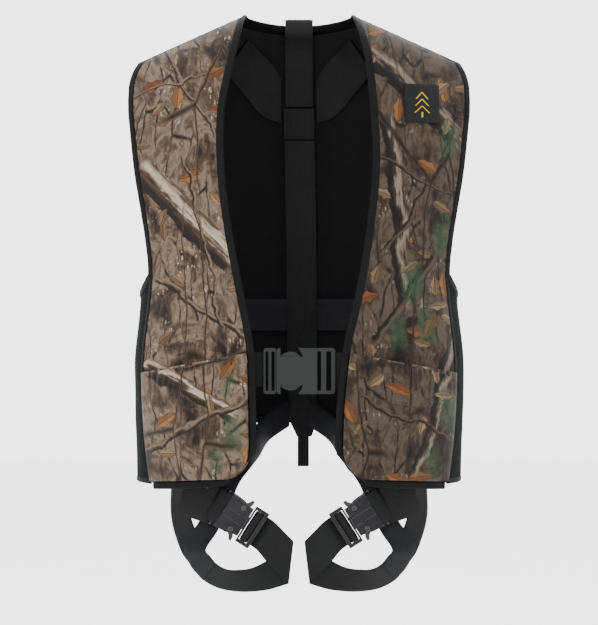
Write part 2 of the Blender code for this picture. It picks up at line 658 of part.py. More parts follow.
def hang_moving_pieces():
    hang(["tether_strap"], axis_empty("tether_axis", TETHER_AXIS))
    hang(["waist_belt_r", "waist_arm_top", "waist_arm_low"], bpy.data.objects["waist_buckle_plug"])
    fixed = ("strap_outer", "strap_tail", "strap_loop", "strap_front", "buckle_base", "buckle_cover",
             "rivet_upper",
             "rivet_lower", "spring", "lever_upper", "lever_lower", "tongue")
    for tag in SIDES:
        hang([f"leg_{word}_{tag}" for word in fixed], axis_empty(f"leg_axis_{tag}", LEG_AXIS))
        hang([f"leg_friction_bar_{tag}"], bpy.data.objects[f"leg_tongue_{tag}"])


def main():
    clear_scene()
    make_back()
    make_harness()
    make_tether()
    make_waist_buckle()
    for tag, side in SIDES.items():
        make_cloth(tag, side)
        make_leg_buckle(tag, side)
        make_leg_webbing(tag, side)
    hang_moving_pieces()


main()
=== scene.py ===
"""Looks of the safety harness vest: cloth, print, webbing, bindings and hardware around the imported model."""

import math

import bmesh
import bpy
import numpy as np
from mathutils import Matrix, Vector


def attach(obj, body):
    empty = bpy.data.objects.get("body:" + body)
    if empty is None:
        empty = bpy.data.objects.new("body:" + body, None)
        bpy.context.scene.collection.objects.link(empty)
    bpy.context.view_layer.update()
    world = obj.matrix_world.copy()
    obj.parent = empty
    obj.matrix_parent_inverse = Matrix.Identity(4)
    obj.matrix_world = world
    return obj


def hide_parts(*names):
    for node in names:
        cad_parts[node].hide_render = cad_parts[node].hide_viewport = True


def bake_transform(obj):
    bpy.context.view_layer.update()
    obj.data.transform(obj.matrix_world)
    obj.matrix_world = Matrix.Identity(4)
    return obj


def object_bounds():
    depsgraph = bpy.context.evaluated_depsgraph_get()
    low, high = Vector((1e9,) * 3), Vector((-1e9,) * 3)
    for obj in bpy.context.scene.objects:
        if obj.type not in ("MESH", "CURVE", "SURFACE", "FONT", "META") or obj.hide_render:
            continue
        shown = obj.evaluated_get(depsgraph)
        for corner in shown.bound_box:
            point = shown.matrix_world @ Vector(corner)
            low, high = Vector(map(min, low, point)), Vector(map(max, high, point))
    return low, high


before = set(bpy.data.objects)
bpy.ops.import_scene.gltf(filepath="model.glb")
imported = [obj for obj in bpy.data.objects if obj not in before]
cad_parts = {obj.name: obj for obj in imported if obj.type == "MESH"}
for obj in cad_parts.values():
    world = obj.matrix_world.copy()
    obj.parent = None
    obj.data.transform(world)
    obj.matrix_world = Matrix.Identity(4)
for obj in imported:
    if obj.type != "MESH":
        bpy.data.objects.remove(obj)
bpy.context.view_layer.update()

# The vest's shape, as in the CAD model, in metres. A drop is a height below the neck points.
HALF_WIDTH = ((0.0, 0.236), (0.07, 0.243), (0.13, 0.250), (0.22, 0.243), (0.30, 0.2265),
              (0.377, 0.2170), (0.48, 0.2250), (0.56, 0.2235), (0.66, 0.2200))
HALF_DEPTH = ((-0.02, 0.074), (0.0, 0.076), (0.07, 0.086), (0.15, 0.105), (0.25, 0.117), (0.40, 0.119),
              (0.66, 0.125))
SHOULDER_ARCH = 0.070
SHOULDER_SLOPE = 0.45
NECK_HALF = 0.0714
NECK_ROUNDING = 0.020
OPEN_EDGE = {
    -1: ((0.0, 0.079), (0.065, 0.0920), (0.135, 0.1055), (0.21, 0.1065), (0.30, 0.0960), (0.38, 0.0810),
         (0.457, 0.0670), (0.53, 0.0643), (0.65, 0.0632)),
    1: ((0.0, 0.079), (0.065, 0.0948), (0.135, 0.1018), (0.21, 0.1047), (0.30, 0.0962), (0.38, 0.0830),
        (0.457, 0.0657), (0.53, 0.0575), (0.65, 0.0549)),
}
SIDE_EDGE = ((0.067, 0.2140), (0.09, 0.2225), (0.12, 0.2245), (0.17, 0.2205), (0.22, 0.2150),
             (0.27, 0.2070), (0.31, 0.2010), (0.352, 0.1975), (0.38, 0.2000), (0.48, 0.2105),
             (0.56, 0.2080), (0.62, 0.2010), (0.66, 0.1950))
ARMHOLE_DROP = 0.360
ARMHOLE_SAG = 0.026
HEM_FRONT = 0.628
HEM_SIDE = 0.636
HEM_CORNER = 0.040
HEM_BACK = 0.559
NECKLINE_DROP = 0.011
NECK_EDGE = 0.079
SHOULDER_END = 0.214
LAYER = 0.004
POCKET_TOP = (0.462, 0.490)
BUCKLE_AXIS = math.radians(32.4)
BUCKLE_START = (0.1084, -0.050, 0.6682)
WAIST_PLANE = -0.092
BELT_EDGES = (-0.4605, -0.5055)
BADGE_ACROSS = (0.139, 0.1855)
BADGE_DOWN = (0.105, 0.1565)

CLOTH = 0.0011
WEB = 0.0018
CAMERA_BACK = 2.3
CAMERA_DROP = 0.408
FRAME_HEIGHT = 0.8594
FRAME_SHAPE = 598 / 625
WORLD_STRENGTH = 3.7
SENSOR = 36.0
SIDES = {"r": -1, "l": 1}


# ---------------------------------------------------------------- surface of the torso

def along(knots, t):
    """Values at t on a smooth curve through (position, value) knots."""
    places = np.array([k[0] for k in knots], float)
    values = np.array([k[1] for k in knots], float)
    slopes = np.gradient(values, places)
    t = np.clip(np.asarray(t, float), places[0], places[-1])
    i = np.clip(np.searchsorted(places, t, side="right") - 1, 0, len(places) - 2)
    step = places[i + 1] - places[i]
    s = (t - places[i]) / step
    rise = (2 * s**3 - 3 * s**2 + 1) * values[i] + (3 * s**2 - 2 * s**3) * values[i + 1]
    return rise + step * ((s**3 - 2 * s**2 + s) * slopes[i] + (s**3 - s**2) * slopes[i + 1])


def ease(low, high, t):
    s = np.clip((np.asarray(t, float) - low) / (high - low), 0, 1)
    return s * s * (3 - 2 * s)


def unit(v):
    return v / np.maximum(np.linalg.norm(v, axis=-1, keepdims=True), 1e-12)


def ridge_drop(x):
    return SHOULDER_SLOPE * (np.hypot(x, NECK_ROUNDING) - NECK_HALF)


def shell_point(angle, drop):
    x = along(HALF_WIDTH, drop) * np.sin(angle)
    fall = np.clip(drop - ridge_drop(x), 0, SHOULDER_ARCH)
    lean = np.sin(np.arccos(1 - fall / SHOULDER_ARCH))
    return np.stack([x, -along(HALF_DEPTH, drop) * np.cos(angle) * lean, -drop + 0 * x], axis=-1)


def shell(angle, drop, out=0.0):
    """(points, outward normals) on the torso, moved out along the normals."""
    angle, drop = np.broadcast_arrays(np.asarray(angle, float), np.asarray(drop, float))
    tiny = 1e-4
    across = shell_point(angle + tiny, drop) - shell_point(angle - tiny, drop)
    down = shell_point(angle, drop + tiny) - shell_point(angle, drop)
    normal = unit(np.cross(down, across))
    away = np.stack([np.sin(angle), -np.cos(angle), 0.4 + 0 * angle], axis=-1)
    normal = normal * np.where((normal * away).sum(-1, keepdims=True) < 0, -1, 1)
    return shell_point(angle, drop) + normal * np.asarray(out)[..., None], normal


def angle_at(x, drop, back=False):
    a = np.arcsin(np.clip(x / along(HALF_WIDTH, drop), -0.999, 0.999))
    return math.pi - a if back else a


def on_shell(x, drop, out=0.0, back=False):
    return shell(angle_at(x, drop, back), drop, out)


def open_edge(side, drop):
    x = along(OPEN_EDGE[side], drop)
    below = np.clip(drop - (HEM_FRONT - HEM_CORNER), 0, HEM_CORNER)
    return x + np.where(below > 0, HEM_CORNER - np.sqrt(np.maximum(HEM_CORNER**2 - below**2, 0)), 0)


def side_edge(drop):
    return along(SIDE_EDGE, drop)


def neckline(x):
    return NECKLINE_DROP - (NECKLINE_DROP - ridge_drop(NECK_EDGE)) * (x / NECK_EDGE) ** 2


def back_hem(x):
    return HEM_BACK + (HEM_SIDE - HEM_BACK) * ease(0.06, 0.185, np.abs(x))


def shares_down(total, arch, plain, corner):
    """Fine rows over the shoulder and at the hem's corner, as shares of the height."""
    rows = SHOULDER_ARCH * (1 - np.cos(np.radians(np.linspace(0.5, 90, arch, endpoint=False))))
    low = total - HEM_CORNER if corner else total
    rows = np.concatenate([rows, np.linspace(SHOULDER_ARCH, low, plain + 1)])
    if corner:
        rows = np.concatenate([rows, low + HEM_CORNER * np.sin(np.linspace(0, math.pi / 2, corner + 1)[1:])])
    return rows / total


def crowded_shares(arch, fine, plain):
    """Shares from 0 to 1 that crowd together over the shoulder's arch."""
    bent = arch * (1 - np.cos(np.linspace(0, math.pi / 2, fine)))
    return np.concatenate([bent[:-1], np.linspace(arch, 1, plain)])


def ripple(x, z, seed, scale):
    """Smooth folds between -1 and 1: a few waves of seeded direction and phase."""
    rng = np.random.default_rng(seed)
    total = 0 * x
    for k in range(7):
        turn = rng.uniform(-0.6, 0.6) + (0 if k % 2 else math.pi / 2)
        wave = scale * rng.uniform(0.5, 1.9)
        place = (x * math.cos(turn) + z * math.sin(turn)) / wave
        total = total + np.sin(2 * math.pi * place + rng.uniform(0, 6.3))
    return total / 4


# ---------------------------------------------------------------- meshes

def smooth_object(name, points, faces, uv, material):
    """A smooth-shaded mesh object; uv holds each point's place along and across the piece."""
    mesh = bpy.data.meshes.new(name)
    mesh.from_pydata(points.tolist(), [], faces)
    layer = mesh.uv_layers.new(name="length")
    corners = np.array([point for face in faces for point in face])
    layer.data.foreach_set("uv", uv[corners].astype(np.float32).reshape(-1))
    mesh.materials.append(material)
    mesh.shade_smooth()
    made = bpy.data.objects.new(name, mesh)
    bpy.context.scene.collection.objects.link(made)
    return made


def grid_object(name, points, normals, thickness, uv, material):
    """A closed sheet around a grid of points: thickness may differ from column to column."""
    deep, wide = points.shape[:2]
    half = np.broadcast_to(np.asarray(thickness, float) / 2, (deep, wide))[..., None]
    co = np.concatenate([(points + normals * half).reshape(-1, 3), (points - normals * half).reshape(-1, 3)])
    index = np.arange(deep * wide).reshape(deep, wide)
    quads = np.stack([index[:-1, :-1], index[:-1, 1:], index[1:, 1:], index[1:, :-1]], -1).reshape(-1, 4)
    under = quads[:, ::-1] + deep * wide
    border = np.concatenate([index[0, :], index[1:, -1], index[-1, -2::-1], index[-2:0:-1, 0]])
    after = np.roll(border, -1)
    rim = np.stack([border, border + deep * wide, after + deep * wide, after], -1)
    faces = np.concatenate([quads, under, rim])
    a, b, c = co[quads[0, 0]], co[quads[0, 1]], co[quads[0, 2]]
    if np.dot(np.cross(b - a, c - a), normals.reshape(-1, 3)[quads[0, 0]]) < 0:
        faces = faces[:, ::-1]
    flat = np.concatenate([uv.reshape(-1, 2), uv.reshape(-1, 2)])
    made = smooth_object(name, co, faces.tolist(), flat, material)
    made.data.set_sharp_from_angle(angle=math.radians(50))
    return made


def curve_through(stations, step):
    """Points about a step apart on a smooth curve through the stations, which stand at uneven distances."""
    table = np.array(stations, float)
    flat = table.reshape(len(table), -1)
    middle = table.reshape(len(table), -1, 3).mean(1)
    t = np.concatenate([[0], np.cumsum(np.linalg.norm(np.diff(middle, axis=0), axis=1))])
    places = np.linspace(0, t[-1], max(int(t[-1] / step), 3) + 1)
    columns = [along(list(zip(t, flat[:, k])), places) for k in range(flat.shape[1])]
    return np.stack(columns, -1).reshape(len(places), *table.shape[1:]), places


def webbing(name, stations, material, width_columns=10, thickness=WEB, step=0.003, wave=0.0, seed=1):
    """Flat webbing between two edges, with soft selvedges. Stations are pairs of points in metres."""
    edges, places = curve_through(stations, step)
    share = np.linspace(0, 1, width_columns + 1)
    points = edges[:, :1] + (edges[:, 1:] - edges[:, :1]) * share[None, :, None]
    run = unit(np.gradient(edges.mean(1), axis=0))
    across = unit(edges[:, 1] - edges[:, 0])
    normal = unit(np.cross(run, across))
    normals = np.repeat(normal[:, None], width_columns + 1, axis=1)
    if wave:
        down, over = np.meshgrid(places, share * 0.04, indexing="ij")
        lift = wave * ripple(down, over, seed, 0.09)
        points = points + normals * lift[..., None]
    profile = thickness * (1 - 0.75 * np.abs(2 * share - 1) ** 10)
    width = np.linalg.norm(edges[:, 1] - edges[:, 0], axis=-1)
    uv = np.stack([places[:, None] + 0 * share, (share[None, :] - 0.5) * width[:, None]], -1)
    return grid_object(name, points, normals, profile[None, :], uv, material)


def binding(name, points, normals, turn, material, near=-0.0020, far=0.0085, thickness=0.0036, closed=False):
    """A folded tape along an edge: a rounded section that swallows the cloth's edge."""
    count = len(points)
    if closed:
        run = unit(np.roll(points, -1, 0) - np.roll(points, 1, 0))
    else:
        run = unit(np.gradient(points, axis=0))
    across = unit(np.cross(normals, run)) * turn
    length = np.concatenate([[0], np.cumsum(np.linalg.norm(np.diff(points, axis=0), axis=1))])
    turns = np.linspace(0, 2 * math.pi, 15)[:-1]
    middle, reach = (near + far) / 2, (far - near) / 2
    across_part = middle + reach * np.sign(np.cos(turns)) * np.abs(np.cos(turns)) ** 0.55
    up_part = thickness / 2 * np.sign(np.sin(turns)) * np.abs(np.sin(turns)) ** 0.75
    pucker = 1 + 0.10 * np.sin(length * 2 * math.pi / 0.0085)
    pucker = pucker + 0.08 * np.sin(length * 2 * math.pi / 0.023 + 1.0)
    rings = (points[:, None] + across[:, None] * across_part[None, :, None]
             + normals[:, None] * (up_part[None, :] * pucker[:, None])[..., None])
    size = len(turns)
    index = np.arange(count * size).reshape(count, size)
    nxt = np.roll(index, -1, axis=1)
    low, high = (index, np.roll(index, -1, 0)) if closed else (index[:-1], index[1:])
    low_next, high_next = (nxt, np.roll(nxt, -1, 0)) if closed else (nxt[:-1], nxt[1:])
    faces = np.stack([low, low_next, high_next, high], -1).reshape(-1, 4).tolist()
    if not closed:
        faces += [index[0, ::-1].tolist(), index[-1].tolist()]
    flat = np.stack([np.repeat(length, size), np.tile(across_part, count)], -1)
    made = smooth_object(name, rings.reshape(-1, 3), faces, flat, material)
    work = bmesh.new()
    work.from_mesh(made.data)
    bmesh.ops.recalc_face_normals(work, faces=work.faces)
    work.to_mesh(made.data)
    work.free()
    return made


# ---------------------------------------------------------------- materials

def scaled(colour, factor):
    return tuple(factor * c for c in colour)


class Shader:
    """Short calls for building one node material."""

    def __init__(self, name):
        self.material = bpy.data.materials.new(name)
        self.material.use_nodes = True
        self.nodes = self.material.node_tree.nodes
        self.links = self.material.node_tree.links
        self.surface = self.nodes["Principled BSDF"]

    def put(self, target, value):
        if isinstance(value, bpy.types.NodeSocket):
            self.links.new(value, target)
        else:
            target.default_value = value

    def place(self, kind="Object"):
        return self.nodes.new("ShaderNodeTexCoord").outputs[kind]

    def moved(self, source, scale=(1, 1, 1), turn=(0, 0, 0), shift=(0, 0, 0)):
        node = self.nodes.new("ShaderNodeMapping")
        self.put(node.inputs["Vector"], source)
        node.inputs["Scale"].default_value = scale
        node.inputs["Rotation"].default_value = turn
        node.inputs["Location"].default_value = shift
        return node.outputs[0]

    def noise(self, source, scale, detail=3.0, rough=0.5, distortion=0.0, colour=False):
        node = self.nodes.new("ShaderNodeTexNoise")
        self.put(node.inputs["Vector"], source)
        node.inputs["Scale"].default_value = scale
        node.inputs["Detail"].default_value = detail
        node.inputs["Roughness"].default_value = rough
        node.inputs["Distortion"].default_value = distortion
        return node.outputs["Color" if colour else "Fac"]

    def cells(self, source, scale, feature="F1"):
        node = self.nodes.new("ShaderNodeTexVoronoi")
        node.voronoi_dimensions = "2D"
        node.feature = feature
        self.put(node.inputs["Vector"], source)
        node.inputs["Scale"].default_value = scale
        return node.outputs["Distance"]

    def ramp(self, factor, stops):
        node = self.nodes.new("ShaderNodeValToRGB")
        while len(node.color_ramp.elements) < len(stops):
            node.color_ramp.elements.new(0.5)
        for element, (position, colour) in zip(node.color_ramp.elements, stops):
            element.position = position
            element.color = (*colour, 1) if len(colour) == 3 else colour
        self.put(node.inputs[0], factor)
        return node.outputs[0]

    def between(self, factor, low, high):
        """0 below low, 1 above high."""
        node = self.nodes.new("ShaderNodeMapRange")
        self.put(node.inputs["Value"], factor)
        node.inputs["From Min"].default_value = low
        node.inputs["From Max"].default_value = high
        return node.outputs["Result"]

    def math(self, operation, a, b=0.0, c=0.0):
        node = self.nodes.new("ShaderNodeMath")
        node.operation = operation
        for socket, value in zip(node.inputs, (a, b, c)):
            self.put(socket, value)
        return node.outputs[0]

    def mul(self, a, b):
        return self.math("MULTIPLY", a, b)

    def add(self, a, b):
        return self.math("ADD", a, b)

    def sine(self, a):
        return self.math("SINE", a)

    def abs(self, a):
        return self.math("ABSOLUTE", a)

    def vector(self, operation, a, b):
        """The node that joins two vectors."""
        node = self.nodes.new("ShaderNodeVectorMath")
        node.operation = operation
        self.put(node.inputs[0], a)
        self.put(node.inputs[1], b)
        return node.outputs

    def spun(self, source, angle):
        node = self.nodes.new("ShaderNodeVectorRotate")
        node.rotation_type = "Z_AXIS"
        self.put(node.inputs["Vector"], source)
        self.put(node.inputs["Angle"], angle)
        return node.outputs[0]

    def mix(self, factor, a, b, kind="MIX"):
        node = self.nodes.new("ShaderNodeMix")
        node.data_type = "RGBA"
        node.blend_type = kind
        self.put(node.inputs["Factor"], factor)
        for socket, value in zip((node.inputs[6], node.inputs[7]), (a, b)):
            self.put(socket, (*value, 1) if isinstance(value, tuple) and len(value) == 3 else value)
        return node.outputs[2]

    def split(self, source):
        node = self.nodes.new("ShaderNodeSeparateXYZ")
        self.put(node.inputs[0], source)
        return node.outputs

    def join(self, x, y, z=0.0):
        node = self.nodes.new("ShaderNodeCombineXYZ")
        for socket, value in zip(node.inputs, (x, y, z)):
            self.put(socket, value)
        return node.outputs[0]

    def edge_wear_and_highlight(self, radius):
        """(1 on edges and 0 on flats, normals rounded over the edges): rubbed bright edges on metal, painted
        highlights on plastic.
        """
        bevel = self.nodes.new("ShaderNodeBevel")
        bevel.samples = 6
        bevel.inputs["Radius"].default_value = radius
        geometry = self.nodes.new("ShaderNodeNewGeometry")
        facing = self.vector("DOT_PRODUCT", bevel.outputs[0], geometry.outputs["True Normal"])
        return self.between(facing["Value"], 0.99, 0.86), bevel.outputs[0]

    def finish(self, colour, roughness, height=None, distance=0.0003, strength=1.0, normal=None, **others):
        self.put(self.surface.inputs["Base Color"], (*colour, 1) if isinstance(colour, tuple) else colour)
        self.put(self.surface.inputs["Roughness"], roughness)
        if height is not None:
            bump = self.nodes.new("ShaderNodeBump")
            bump.inputs["Distance"].default_value = distance
            bump.inputs["Strength"].default_value = strength
            self.put(bump.inputs["Height"], height)
            if normal is not None:
                self.put(bump.inputs["Normal"], normal)
            self.put(self.surface.inputs["Normal"], bump.outputs[0])
        for name, value in others.items():
            self.put(self.surface.inputs[name.replace("_", " ")], value)
        return self.material


def weave(shader, source, threads):
    """Over-and-under threads of plain cloth along the surface's own length and width."""
    x, y, _ = shader.split(source)
    a = shader.sine(shader.mul(x, threads * 2 * math.pi))
    b = shader.sine(shader.mul(y, threads * 2 * math.pi))
    return shader.mul(a, b)


def plain_cloth(name, colour, threads=900.0, sheen=0.0):
    s = Shader(name)
    source = s.place()
    broad = s.noise(source, 9.0, 4.0, 0.55)
    fine = s.noise(source, 620.0, 2.0, 0.6)
    tint = s.mix(s.between(broad, 0.3, 0.7), scaled(colour, 0.75), scaled(colour, 1.3))
    tint = s.mix(s.mul(fine, 0.35), tint, scaled(colour, 1.9))
    height = s.add(s.mul(fine, 0.5), s.mul(weave(s, s.place("UV"), threads), 0.25))
    return s.finish(tint, s.math("MULTIPLY_ADD", broad, 0.15, 0.76), height, 0.0005, 0.6, Sheen_Weight=sheen,
                    Sheen_Roughness=0.5, Specular_IOR_Level=0.05)


def web_material(name, colour, sewn=False):
    """Woven webbing: fine ribs along the length, slanting picks across it, stitching near both edges."""
    s = Shader(name)
    along_web, across, _ = s.split(s.place("UV"))
    rib = s.sine(s.mul(across, 2 * math.pi / 0.0021))
    slant = s.add(s.mul(along_web, 2 * math.pi / 0.0017), s.mul(s.abs(rib), 2.2))
    pick = s.sine(slant)
    broad = s.noise(s.place(), 24.0, 3.0, 0.6)
    height = s.add(s.mul(rib, 0.5), s.mul(pick, 0.35))
    # painted light: raised ribs and picks are lighter, the hollows between them darker
    lit = s.between(height, -0.7, 0.8)
    tint = s.mix(lit, scaled(colour, 0.45), scaled(colour, 1.7))
    tint = s.mix(s.between(broad, 0.42, 0.75), tint, scaled(colour, 2.3))
    if sewn:
        wander = s.noise(s.place(), 90.0)
        dash = s.sine(s.mul(s.add(along_web, wander), 2 * math.pi / 0.0042))
        row = s.sine(s.mul(across, 2 * math.pi / 0.0036))
        thread = s.between(s.mul(dash, row), 0.25, 0.6)
        tint = s.mix(s.mul(thread, 0.8), tint, scaled(colour, 6.5))
        height = s.add(height, thread)
    rough = s.math("MULTIPLY_ADD", broad, 0.22, 0.42)
    return s.finish(tint, rough, height, 0.00022, 0.8, Specular_IOR_Level=0.09)


def tape_material(name, colour):
    """Grosgrain binding tape: close ribs across it, and a line of stitches."""
    s = Shader(name)
    length, across, _ = s.split(s.place("UV"))
    rib = s.sine(s.mul(length, 2 * math.pi / 0.0011))
    stitch = s.mul(s.between(s.sine(s.mul(length, 2 * math.pi / 0.0034)), -0.3, 0.2),
                   s.between(s.abs(s.math("SUBTRACT", across, 0.0062)), 0.0006, 0.0003))
    broad = s.noise(s.place(), 40.0, 3.0, 0.6)
    tint = s.mix(s.between(broad, 0.35, 0.7), scaled(colour, 0.7), scaled(colour, 1.5))
    tint = s.mix(s.mul(stitch, 0.55), tint, scaled(colour, 3.2))
    height = s.add(s.mul(rib, 0.4), s.mul(stitch, 1.4))
    return s.finish(tint, 0.62, height, 0.00018, 0.8, Specular_IOR_Level=0.06)


def plastic_material(name, colour):
    s = Shader(name)
    fine = s.noise(s.place(), 1400.0, 2.0, 0.6)
    broad = s.noise(s.place(), 60.0, 4.0, 0.6)
    tint = s.mix(s.between(broad, 0.3, 0.8), scaled(colour, 0.8), scaled(colour, 1.35))
    edge, smooth = s.edge_wear_and_highlight(0.0009)
    # painted highlight: the bevelled edges are lightened to six times the plastic's colour
    tint = s.mix(edge, tint, scaled(colour, 6.0))
    rough = s.math("MULTIPLY_ADD", broad, 0.25, 0.26)
    return s.finish(tint, rough, fine, 0.00008, 0.7, normal=smooth, Specular_IOR_Level=0.20)


def metal_material(name, colour, rough, worn):
    """Brushed or plated metal whose edges are rubbed bright."""
    s = Shader(name)
    grain = s.noise(s.moved(s.place(), (1, 1, 14)), 160.0, 4.0, 0.65)
    smudge = s.noise(s.place(), 45.0, 4.0, 0.6)
    tint = s.mix(s.between(smudge, 0.3, 0.75), scaled(colour, 0.75), scaled(colour, 1.3))
    edge, smooth = s.edge_wear_and_highlight(0.0006)
    tint = s.mix(edge, tint, worn)
    rough = s.math("MULTIPLY_ADD", grain, 0.18, rough)
    return s.finish(tint, rough, grain, 0.00003, 0.5, normal=smooth, Metallic=1.0)


# Tones of the printed bark, from its cracks to its lit wood, and the width that parts branches from trunks.
BARK_TONES = ((0.010, 0.007, 0.005), (0.090, 0.056, 0.036), (0.250, 0.185, 0.128), (0.640, 0.530, 0.410))
THICK_LIMB = 0.015


def leaf_layer(s, colour, source, scale, keep, half, tones, turn=0.0):
    """Pointed leaves scattered at random angles, with ribs and veins. half is (half-width, half-length)."""
    area = s.moved(source, (1, 1, 1), (0, 0, turn), (0.17 * turn, 0.05, 0))
    node = s.nodes.new("ShaderNodeTexVoronoi")
    node.voronoi_dimensions = "2D"
    s.put(node.inputs["Vector"], area)
    node.inputs["Scale"].default_value = scale
    away = s.vector("SUBTRACT", area, node.outputs["Position"])
    dice = s.split(node.outputs["Color"])
    x, y, _ = s.split(s.spun(away[0], s.mul(dice[0], 2 * math.pi)))
    lobes = s.math("MULTIPLY_ADD", s.sine(s.mul(y, 9.0 / half[1])), 0.16, 1.0)
    narrowing = s.math("SUBTRACT", 1.0, s.math("POWER", s.math("DIVIDE", y, half[1]), 2.0))
    width = s.mul(narrowing, s.mul(lobes, half[0]))
    reach = s.math("SUBTRACT", width, s.abs(x))
    body = s.mul(s.between(reach, 0.0, 0.0005), s.between(dice[1], keep, keep + 0.01))
    veins = s.sine(s.mul(s.math("SUBTRACT", y, s.mul(s.abs(x), 0.9)), 2200.0))
    veins = s.mul(s.between(veins, 0.75, 1.0), 0.6)
    rib = s.math("MAXIMUM", s.between(s.abs(x), 0.0007, 0.0003), veins)
    wear = s.noise(area, 160.0, 4.0, 0.65)
    worn = s.math("MULTIPLY_ADD", wear, 0.7, s.mul(dice[2], 0.5))
    shade = s.mix(s.between(worn, 0.3, 0.9), tones[0], tones[1])
    shade = s.mix(s.mul(s.between(x, 0.0, 0.002), 0.55), shade, scaled(tones[0], 0.35))
    shade = s.mix(rib, shade, scaled(tones[0], 0.22))
    shade = s.mix(s.between(reach, 0.0013, 0.0004), shade, scaled(tones[0], 0.16))
    return s.mix(s.mul(body, 0.96), colour, shade)


def limb(s, colour, source, start, end, width, tones):
    """A ragged branch or trunk between two places on the cloth, lit on one side and grained lengthwise."""
    run = Vector((end[0] - start[0], end[1] - start[1]))
    turn = math.atan2(run.y, run.x)
    along_limb = s.spun(s.vector("SUBTRACT", source, (start[0], start[1], 0))[0], -turn)
    u, v, _ = s.split(along_limb)
    wander = s.mul(s.math("SUBTRACT", s.noise(source, 16.0, 3.0, 0.6), 0.5), 0.035)
    across = s.add(v, wander)
    fineness = 340.0 if width < THICK_LIMB else 170.0
    grain = s.noise(s.moved(along_limb, (0.10, 1, 1)), fineness, 5.0, 0.75, 0.8)
    half = s.math("MULTIPLY_ADD", grain, 0.5 * width, 0.25 * width)
    inside = s.between(s.math("SUBTRACT", half, s.abs(across)), 0.0, 0.0008)
    far_end = s.between(u, run.length + 0.006, run.length - 0.006)
    ends = s.mul(s.between(u, -0.004, 0.004), far_end)
    lit = s.math("MULTIPLY_ADD", across, 0.9 / width, grain)
    wood = s.ramp(lit, ((0.30, tones[0]), (0.50, tones[1]), (0.66, tones[2]), (0.90, tones[1])))
    return s.mix(s.mul(inside, ends), colour, wood)


def spray(s, colour, source, centre, radius, tones):
    """A fan of pine needles round a place on the cloth."""
    x, y, _ = s.split(s.vector("SUBTRACT", source, (centre[0], centre[1], 0))[0])
    for k, lift in enumerate((0.0, 0.45, 0.9)):
        py = s.add(y, radius * lift)
        angle = s.math("ARCTAN2", x, py)
        distance = s.math("SQRT", s.add(s.mul(x, x), s.mul(py, py)))
        spread = s.join(s.mul(angle, 7.0 + k), s.mul(distance, 6.0), 3.1 * k + centre[0] * 40)
        fan = s.noise(spread, 2.4, 2.0)
        stroke = s.between(s.abs(s.math("SUBTRACT", fan, 0.5)), 0.055, 0.025)
        reach = s.math("MULTIPLY_ADD", s.abs(angle), 0.007, distance)
        reach = s.between(reach, radius * 0.8, radius * 0.62)
        near = s.mul(stroke, s.mul(reach, s.between(distance, 0.001, 0.004)))
        colour = s.mix(near, colour, s.mix(fan, tones[0], tones[1]))
    return colour


def bark_print(name, dark, limbs, sprays, leaf_tones, keep):
    """Woodland print, laid out in metres: mottled bark, flecks, leaves, branches and pine needles."""
    s = Shader(name)
    flat = s.place("UV")
    bent = s.mix(0.020, flat, s.noise(flat, 14.0, 3.0, 0.55, colour=True), "ADD")
    black, brown, tan, cream = (scaled(tone, dark) for tone in BARK_TONES)
    patches = s.noise(bent, 17.0, 6.0, 0.66, 0.7)
    streaks = s.noise(s.moved(bent, (1.0, 0.22, 1), (0, 0, 0.5)), 60.0, 8.0, 0.72, 0.5)
    mottle = s.add(s.mul(patches, 0.60), s.mul(streaks, 0.40))
    colour = s.ramp(mottle, ((0.405, black), (0.465, brown), (0.525, tan), (0.585, brown), (0.66, cream)))
    scales = s.moved(bent, (1.0, 0.34, 1), (0, 0, 0.35))
    crack = s.between(s.cells(scales, 48.0, "DISTANCE_TO_EDGE"), 0.07, 0.02)
    colour = s.mix(s.mul(crack, s.between(patches, 0.46, 0.56)), colour, black)
    flecks = s.cells(s.moved(bent, (1, 0.30, 1), (0, 0, -0.5)), 210.0)
    where = s.between(s.noise(bent, 24.0, 3.0), 0.56, 0.64)
    broken = s.between(s.noise(bent, 300.0, 3.0), 0.42, 0.60)
    specks = s.mul(s.between(flecks, 0.30, 0.12), s.mul(where, broken))
    colour = s.mix(specks, colour, cream)

    colour = leaf_layer(s, colour, bent, 20.0, keep, (0.0078, 0.0185), leaf_tones[0], 0.4)
    for start, end, width in limbs:
        if width > THICK_LIMB:
            colour = limb(s, colour, flat, start, end, width, (black, brown, cream))
    colour = leaf_layer(s, colour, bent, 27.0, keep + 0.10, (0.0062, 0.0145), leaf_tones[1], 1.3)
    for start, end, width in limbs:
        if width <= THICK_LIMB:
            colour = limb(s, colour, flat, start, end, width, (black, brown, tan))
    for turn, scale in ((0.45, 13.0), (-0.9, 10.0)):
        area = s.moved(bent, (1, 0.24, 1), (0, 0, turn), (0.4 * turn, 0.1, 0))
        distance = s.cells(area, scale, "DISTANCE_TO_EDGE")
        broken = s.between(s.noise(area, 7.0, 2.0), 0.48, 0.53)
        line = s.mul(s.between(distance, 0.017, 0.010), broken)
        bark_line = s.mix(s.between(distance, 0.004, 0.008), black, brown)
        colour = s.mix(s.mul(line, 0.9), colour, bark_line)
    for centre, radius in sprays:
        colour = spray(s, colour, flat, centre, radius, ((0.0015, 0.010, 0.005), (0.010, 0.040, 0.018)))

    fine = s.noise(s.place(), 900.0, 2.0, 0.6)
    soft = s.noise(s.place(), 16.0, 4.0, 0.55)
    colour = s.mix(s.mul(fine, 0.15), colour, brown)
    height = s.add(s.mul(fine, 0.35), s.mul(soft, 1.6))
    return s.finish(colour, 0.80, height, 0.0009, 0.55, Sheen_Weight=0.04, Specular_IOR_Level=0.10)


